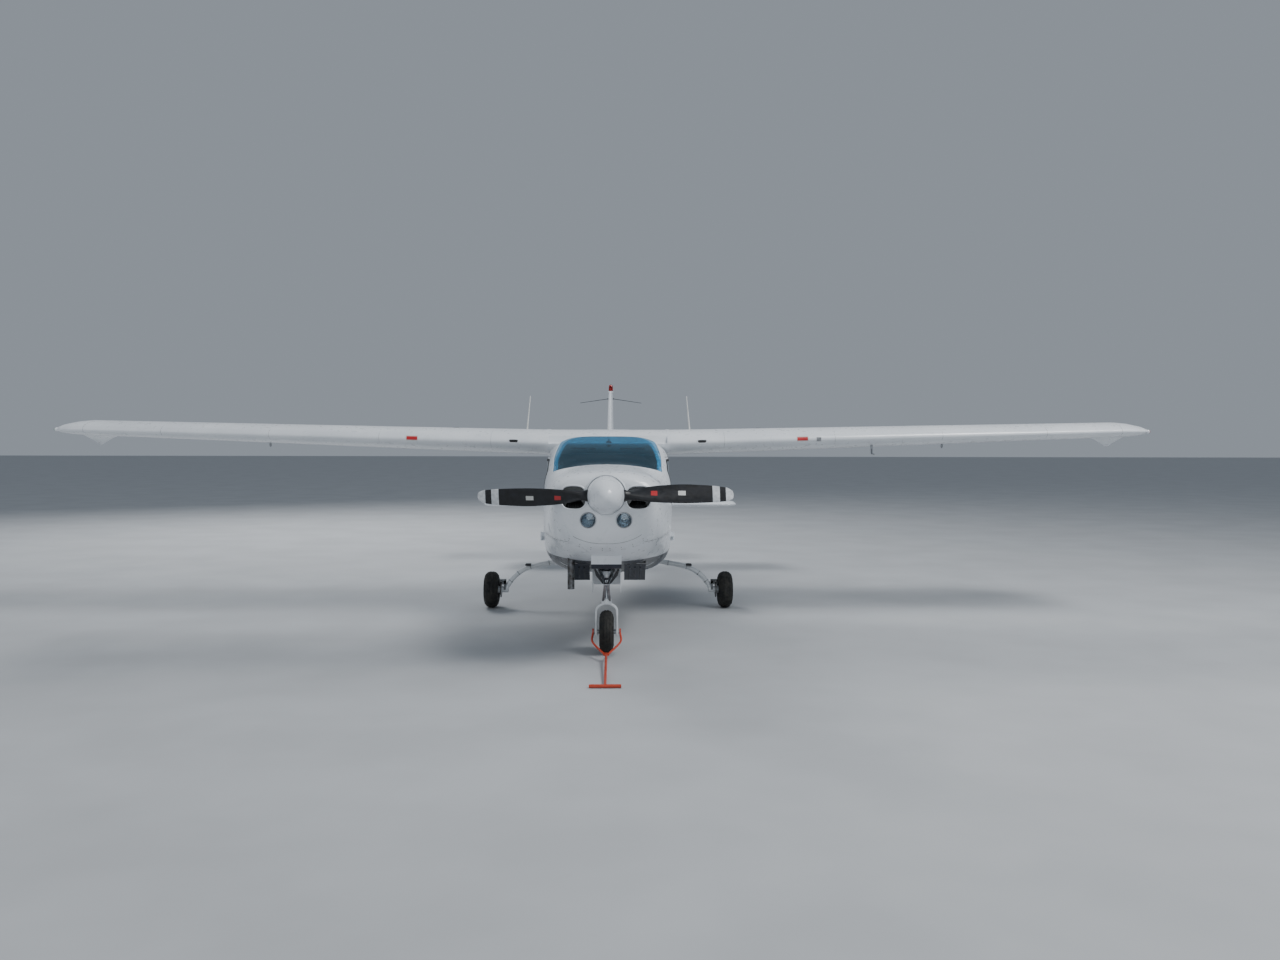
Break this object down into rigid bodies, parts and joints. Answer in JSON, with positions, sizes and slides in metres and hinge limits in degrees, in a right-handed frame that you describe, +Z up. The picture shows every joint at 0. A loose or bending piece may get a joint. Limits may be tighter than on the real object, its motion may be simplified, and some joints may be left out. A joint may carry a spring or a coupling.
{
  "type": "four-seat high-wing light aircraft with retractable gear, parked on its wheels",
  "caption": "Strutless high-wing light aircraft on lowered tricycle gear, with propeller, moving tail and wing surfaces, doors and tow bar.",
  "frame": {"origin": "on the ground, under the middle of the outline", "axes": "+Z up, -Y towards the nose, +X towards the pilot's left wing tip"},
  "size_m": [10.82, 8.664, 2.6],
  "materials": {
    "white_paint": "gloss",
    "navy_paint": "gloss",
    "black_paint": "satin",
    "blade_metal": "satin",
    "engine_metal": "rough",
    "gear_steel": "satin",
    "bright_steel": "bright",
    "tinted_glass": "clear",
    "lamp_glass": "clear",
    "tyre_rubber": "matte",
    "seat_fabric": "woven",
    "trim_plastic": "matte",
    "tow_red": "gloss"
  },
  "bodies": {
    "airframe": {"wing_left": "white_paint", "wing_right": "white_paint", "nose_bowl": "white_paint", "landing_lamp_left": "lamp_glass", "landing_lamp_right": "lamp_glass", "cowl_upper": "white_paint", "cowl_lower": "navy_paint", "exhaust_pipe": "engine_metal", "engine_block": "engine_metal", "firewall": "bright_steel", "belly": "navy_paint", "scuttle": "white_paint", "windscreen": "tinted_glass", "roof": "white_paint", "side_left": "white_paint", "side_right": "white_paint", "rear_window_left": "tinted_glass", "rear_window_right": "tinted_glass", "cabin_floor": "trim_plastic", "aft_bulkhead": "trim_plastic", "front_seat_left": "seat_fabric", "front_seat_right": "seat_fabric", "rear_bench": "seat_fabric", "instrument_panel": "black_paint", "tail_cone": "white_paint", "fin": "white_paint", "main_leg_left": "gear_steel", "main_leg_right": "gear_steel", "nose_strut": "gear_steel"},
    "propeller": {"spinner": "white_paint", "blade_left": "blade_metal", "blade_right": "blade_metal"},
    "main_wheel_left": {"main_rim_left": "white_paint", "main_tyre_left": "tyre_rubber"},
    "main_wheel_right": {"main_rim_right": "white_paint", "main_tyre_right": "tyre_rubber"},
    "nose_leg": {"nose_fork": "gear_steel"},
    "nose_wheel": {"nose_rim": "white_paint", "nose_tyre": "tyre_rubber"},
    "tow_bar": {"tow_bar": "tow_red"},
    "door_left": {"door_left": "white_paint", "door_window_left": "tinted_glass"},
    "door_right": {"door_right": "white_paint", "door_window_right": "tinted_glass"},
    "baggage_door": {"baggage_door": "white_paint"},
    "flap_left": {"flap_left": "white_paint"},
    "flap_right": {"flap_right": "white_paint"},
    "aileron_left": {"aileron_left": "white_paint"},
    "aileron_right": {"aileron_right": "white_paint"},
    "rudder": {"rudder": "white_paint"},
    "stabilator": {"stabilator": "white_paint"},
    "trim_tabs": {"trim_tab_left": "white_paint", "trim_tab_right": "white_paint"}
  },
  "joints": [
    {"name": "propeller_spin", "type": "hinge", "parent": "airframe", "child": "propeller", "pos_m": [0, -3.716, 1.365], "axis": [0, 1, 0], "continuous": true},
    {"name": "main_wheel_left_spin", "type": "hinge", "parent": "airframe", "child": "main_wheel_left", "pos_m": [1.247, -0.478, 0.193], "axis": [1, 0, 0], "continuous": true},
    {"name": "main_wheel_right_spin", "type": "hinge", "parent": "airframe", "child": "main_wheel_right", "pos_m": [-1.247, -0.478, 0.193], "axis": [1, 0, 0], "continuous": true},
    {"name": "nose_steering", "type": "hinge", "parent": "airframe", "child": "nose_leg", "pos_m": [0, -2.998, 0.5], "axis": [0, 0, 1], "range_deg": [-30, 30]},
    {"name": "nose_wheel_spin", "type": "hinge", "parent": "nose_leg", "child": "nose_wheel", "pos_m": [0, -2.998, 0.18], "axis": [1, 0, 0], "continuous": true},
    {"name": "tow_bar_lift", "type": "hinge", "parent": "nose_leg", "child": "tow_bar", "pos_m": [0, -2.998, 0.18], "axis": [-1, 0, 0], "range_deg": [0, 18]},
    {"name": "door_left_swing", "type": "hinge", "parent": "airframe", "child": "door_left", "pos_m": [0.614, -2.021, 1.2], "axis": [0, 0, -1], "range_deg": [0, 80]},
    {"name": "door_right_swing", "type": "hinge", "parent": "airframe", "child": "door_right", "pos_m": [-0.614, -2.021, 1.2], "axis": [0, 0, 1], "range_deg": [0, 80]},
    {"name": "baggage_door_swing", "type": "hinge", "parent": "airframe", "child": "baggage_door", "pos_m": [0.598, -0.241, 1], "axis": [0, 0, -1], "range_deg": [0, 90]},
    {"name": "flap_left_droop", "type": "hinge", "parent": "airframe", "child": "flap_left", "pos_m": [0.64, -0.39779, 1.72114], "axis": [-0.9981, 0.047, -0.0404], "range_deg": [0, 30]},
    {"name": "flap_right_droop", "type": "hinge", "parent": "airframe", "child": "flap_right", "pos_m": [-0.64, -0.39779, 1.72114], "axis": [-0.9981, -0.047, 0.0404], "range_deg": [0, 30]},
    {"name": "aileron_left_tilt", "type": "hinge", "parent": "airframe", "child": "aileron_left", "pos_m": [3.015, -0.43817, 1.81201], "axis": [0.9979, -0.0521, 0.038], "range_deg": [-15, 20]},
    {"name": "aileron_right_tilt", "type": "hinge", "parent": "airframe", "child": "aileron_right", "pos_m": [-3.015, -0.43817, 1.81201], "axis": [0.9979, 0.0521, -0.038], "range_deg": [-20, 15]},
    {"name": "rudder_turn", "type": "hinge", "parent": "airframe", "child": "rudder", "pos_m": [0, 3.531, 1.075], "axis": [0, 0.3126, 0.9499], "range_deg": [-24, 24]},
    {"name": "stabilator_tilt", "type": "hinge", "parent": "airframe", "child": "stabilator", "pos_m": [0, 3.702, 0.87], "axis": [1, 0, 0], "range_deg": [-5, 20]},
    {"name": "trim_tab_tilt", "type": "hinge", "parent": "stabilator", "child": "trim_tabs", "pos_m": [0, 4.162, 0.87], "axis": [1, 0, 0], "range_deg": [-3, 12]}
  ],
  "couplings": [
    {"joint": "flap_right_droop", "follows": "flap_left_droop", "ratio": 1},
    {"joint": "aileron_right_tilt", "follows": "aileron_left_tilt", "ratio": -1},
    {"joint": "trim_tab_tilt", "follows": "stabilator_tilt", "ratio": 0.6}
  ]
}
